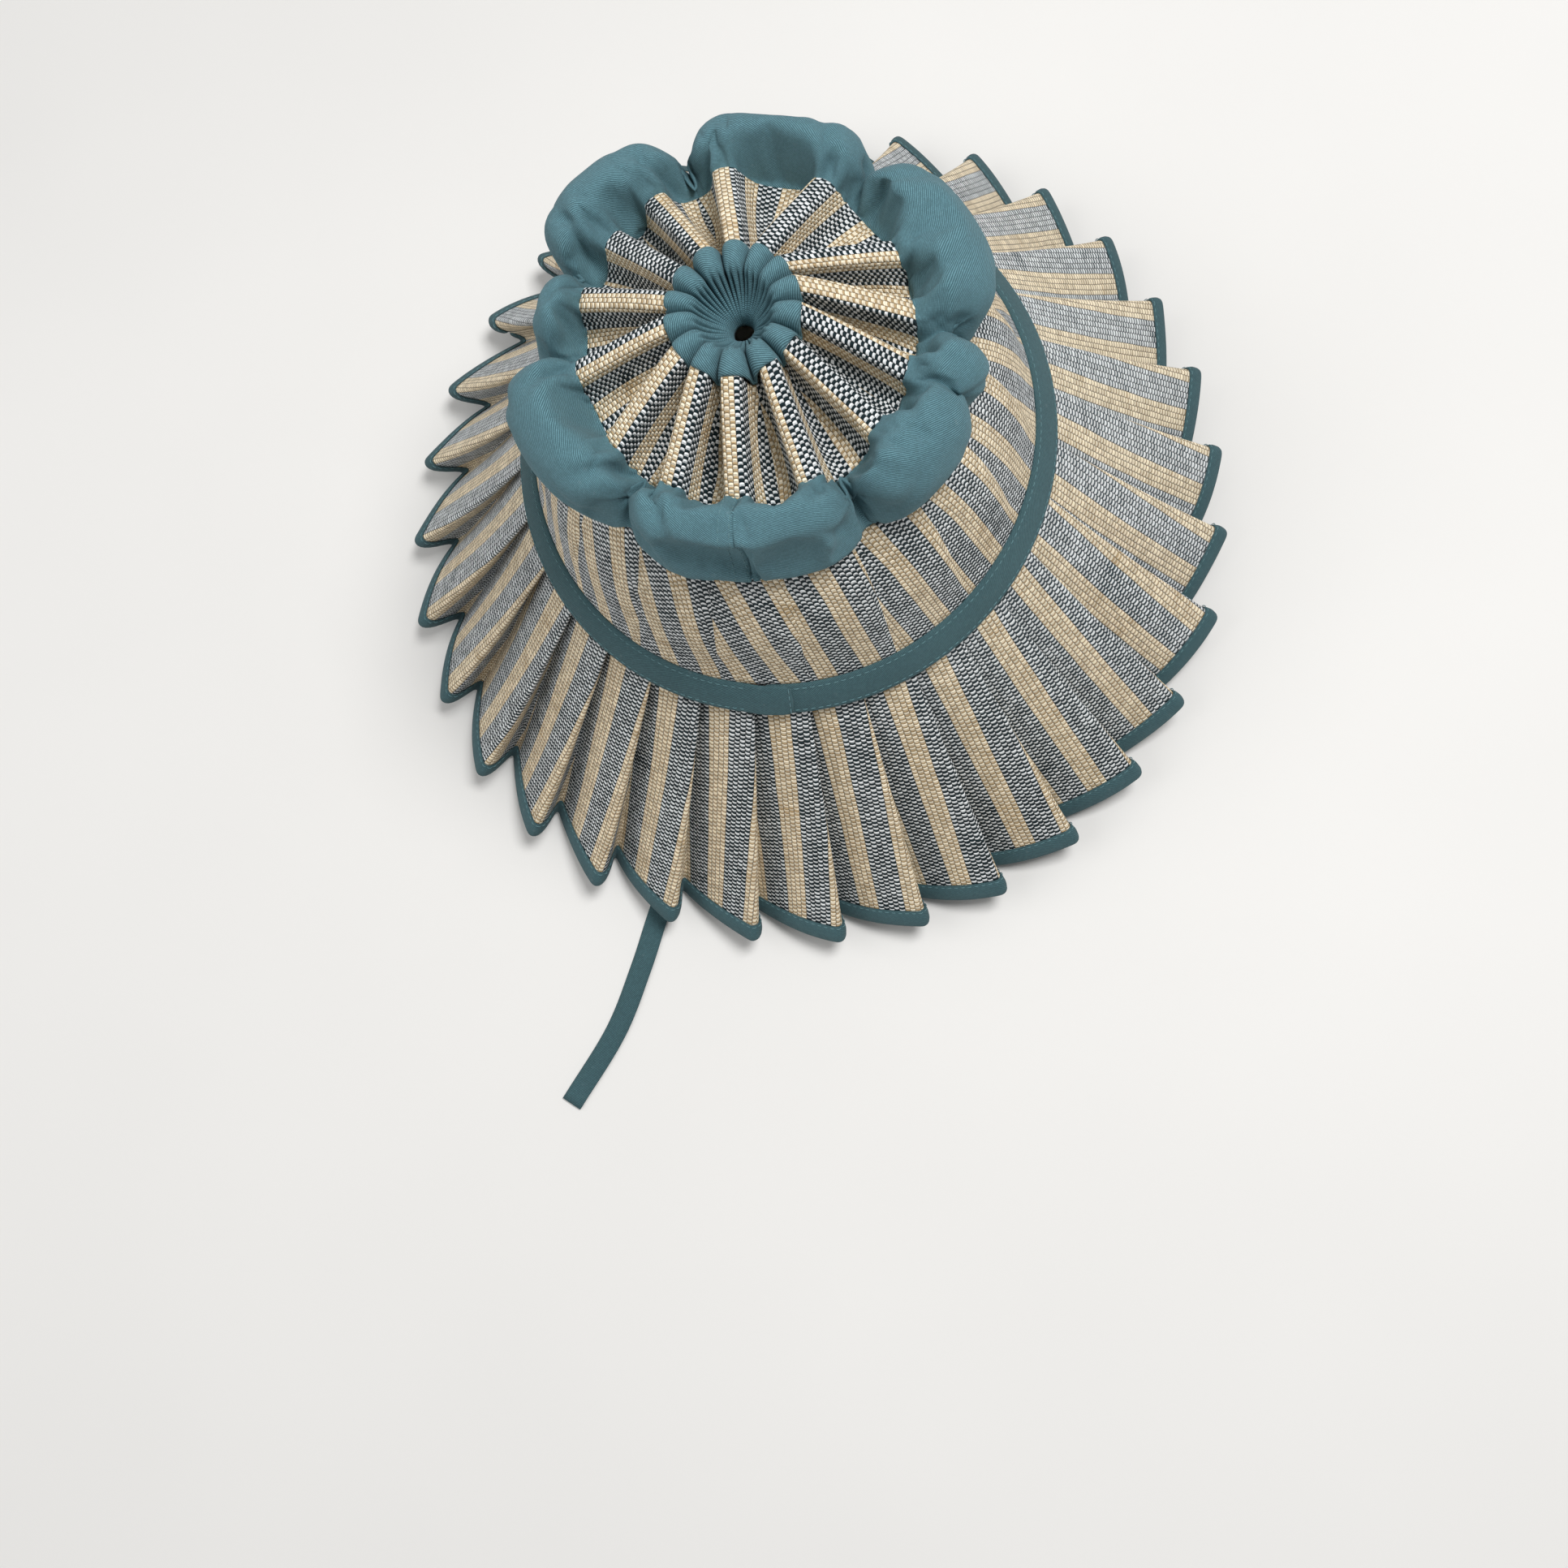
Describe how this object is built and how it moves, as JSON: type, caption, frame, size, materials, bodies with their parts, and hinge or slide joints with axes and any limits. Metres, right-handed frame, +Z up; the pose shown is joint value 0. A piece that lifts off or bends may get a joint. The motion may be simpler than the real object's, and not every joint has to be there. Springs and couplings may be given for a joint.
{
  "type": "pleated packable sun hat",
  "caption": "Soft sun hat of striped hand-woven cloth with a knife-pleated sloping brim, a gathered puff round a pleated crown top, twill bindings and a tie.",
  "frame": {"origin": "On the surface that the hat stands on, at the middle of its outline", "axes": "+Z up through the middle of the crown, the back of the hat with its seams towards -Y, +X to the wearer's right"},
  "size_m": [0.3456, 0.4277, 0.2042],
  "materials": {
    "woven_cloth": "coarse plain weave, cream and dark teal stripes",
    "twill": "matte cotton twill",
    "sweatband_cotton": "matte cotton",
    "thread": "sewing thread"
  },
  "bodies": {
    "hat": {"brim_right": "woven_cloth", "brim_front": "woven_cloth", "brim_left": "woven_cloth", "brim_binding_right": "twill", "brim_binding_front": "twill", "brim_binding_left": "twill", "band_trim": "twill", "sweatband": "sweatband_cotton", "crown_wall": "woven_cloth", "tie_tab": "twill", "tie": "twill"},
    "crown": {"puff_band": "twill", "crown_top": "woven_cloth", "centre_binding": "twill", "gathering_thread": "thread", "crown_seam_tape": "twill"}
  },
  "joints": [
    {"name": "crown_press", "type": "slide", "parent": "hat", "child": "crown", "axis": [0, 0, 1], "range_m": [-0.04, 0], "deforming": ["crown_wall"]}
  ]
}
